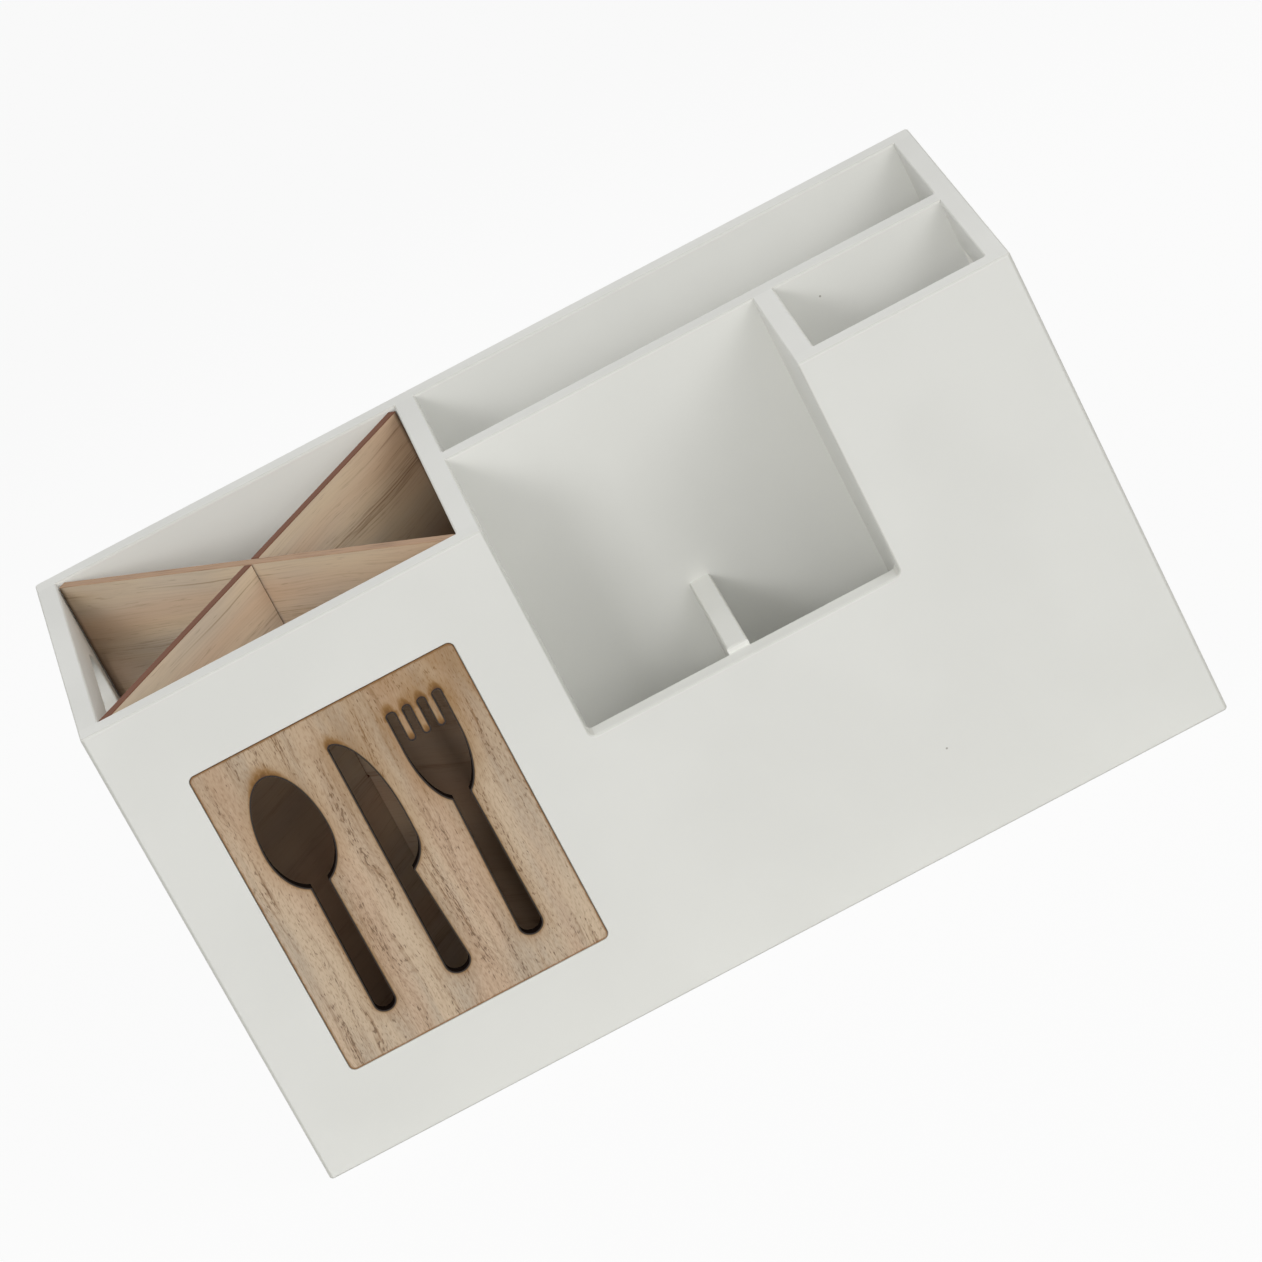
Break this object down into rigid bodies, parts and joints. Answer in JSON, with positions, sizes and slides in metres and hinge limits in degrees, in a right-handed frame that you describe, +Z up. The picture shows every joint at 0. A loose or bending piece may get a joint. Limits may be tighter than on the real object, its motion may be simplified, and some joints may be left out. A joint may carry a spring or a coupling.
{
  "type": "cutlery holder",
  "caption": "White wooden box of open cells for cutlery and kitchen utensils, with a notched front, a plaque with cutlery cut-outs, side hand holes and a lift-out cross divider.",
  "frame": {"origin": "on the table, under the middle of the box", "axes": "+X to the right seen from the front, +Y to the back, +Z up"},
  "size_m": [0.35, 0.15, 0.1885],
  "materials": {
    "white_paint": "satin white paint on board",
    "plaque_wood": "bare light wood, laser cut edges",
    "slat_wood": "bare light wood, laser cut edges",
    "brad_steel": "bright wire"
  },
  "bodies": {
    "holder": {"bottom_panel": "white_paint", "front_panel": "white_paint", "back_panel": "white_paint", "left_side_panel": "white_paint", "right_side_panel": "white_paint", "left_divider": "white_paint", "middle_divider": "white_paint", "right_divider": "white_paint", "low_divider": "white_paint", "cutlery_plaque": "plaque_wood", "front_panel_brads": "brad_steel", "back_panel_brads": "brad_steel", "left_side_brads": "brad_steel", "right_side_brads": "brad_steel", "left_divider_brads": "brad_steel", "middle_divider_brads": "brad_steel"},
    "lower_slat": {"lower_slat": "slat_wood"},
    "upper_slat": {"upper_slat": "slat_wood"}
  },
  "joints": [
    {"name": "cross_lift", "type": "slide", "parent": "holder", "child": "lower_slat", "axis": [0, 0, 1], "range_m": [0, 0.19]},
    {"name": "upper_slat_lift", "type": "slide", "parent": "lower_slat", "child": "upper_slat", "axis": [0, 0, 1], "range_m": [0, 0.19]}
  ]
}
